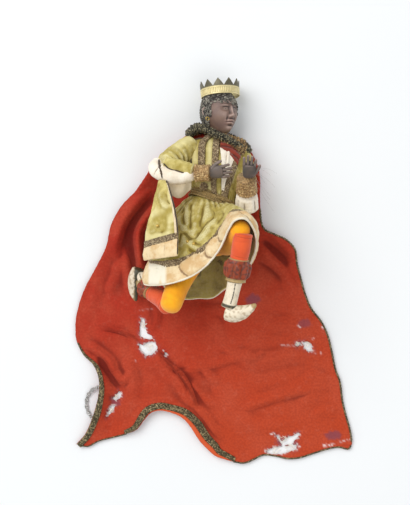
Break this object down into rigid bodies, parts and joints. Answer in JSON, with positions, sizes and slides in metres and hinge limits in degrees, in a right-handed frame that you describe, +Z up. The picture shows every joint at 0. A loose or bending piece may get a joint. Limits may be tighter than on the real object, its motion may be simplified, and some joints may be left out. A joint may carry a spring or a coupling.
{
  "type": "nativity wise man figure",
  "caption": "Dressed nativity figure of a kneeling wise man with a carved head, hands and boots, a crown and a coat, lying on its spread red cloak.",
  "frame": {"origin": "on the table, under the middle of the whole piece as it lies", "axes": "+X towards the figure's left hand, +Y towards the crown, +Z up from the table"},
  "size_m": [0.3176, 0.4378, 0.1481],
  "materials": {
    "painted_wood_skin": "dark brown painted carving, satin, worn",
    "painted_wood_boot": "cream and brown-red painted carving, satin, chipped",
    "velvet": "olive-gold velvet with a crushed pile",
    "satin": "cream to peach satin, soft sheen",
    "linen": "off-white linen, matt",
    "gold_lace": "gold and brown metal-thread lace",
    "metal_braid": "tarnished brown metal-thread braid",
    "gilt": "small gilt fittings, polished",
    "crown_metal": "pale gilt band with dark tarnished teeth",
    "stocking_silk": "orange-red silk, matt",
    "breeches_silk": "yellow satin, soft sheen",
    "belt_cord": "twisted brown-gold metal cords",
    "collar_lace": "dark green-black crinkled metal lace",
    "cloak_cloth": "red wool-like cloth, matt, stained and torn",
    "neckcloth_silk": "crimson cloth, matt"
  },
  "bodies": {
    "root": {"breeches": "breeches_silk", "coat_bodice": "velvet", "head": "painted_wood_skin", "crown": "crown_metal", "earring": "gilt", "stocking_right": "stocking_silk", "boot_right": "painted_wood_boot", "stocking_left": "stocking_silk", "boot_left": "painted_wood_boot", "belt": "belt_cord", "sleeve_right": "velvet", "undersleeve_right": "linen", "cuff_right": "gold_lace", "hand_right": "painted_wood_skin", "sleeve_left": "velvet", "undersleeve_left": "linen", "cuff_left": "gold_lace", "hand_left": "painted_wood_skin", "shirt_front": "linen", "coat_braid_right": "metal_braid", "coat_braid_middle": "metal_braid", "coat_braid_left": "metal_braid", "neckcloth": "neckcloth_silk", "coat_skirt": "velvet", "skirt_hem_band": "satin", "skirt_braid": "metal_braid", "hanging_sleeve_right": "velvet", "hanging_sleeve_band": "satin", "hanging_sleeve_braid": "metal_braid", "hanging_sleeve_lining": "linen", "bead_sleeve": "gilt", "bead_skirt_upper": "gilt", "bead_skirt_lower": "gilt", "cloak": "cloak_cloth", "cloak_braid_hem": "metal_braid", "cloak_braid_right": "metal_braid", "cloak_collar": "collar_lace"}
  },
  "joints": []
}
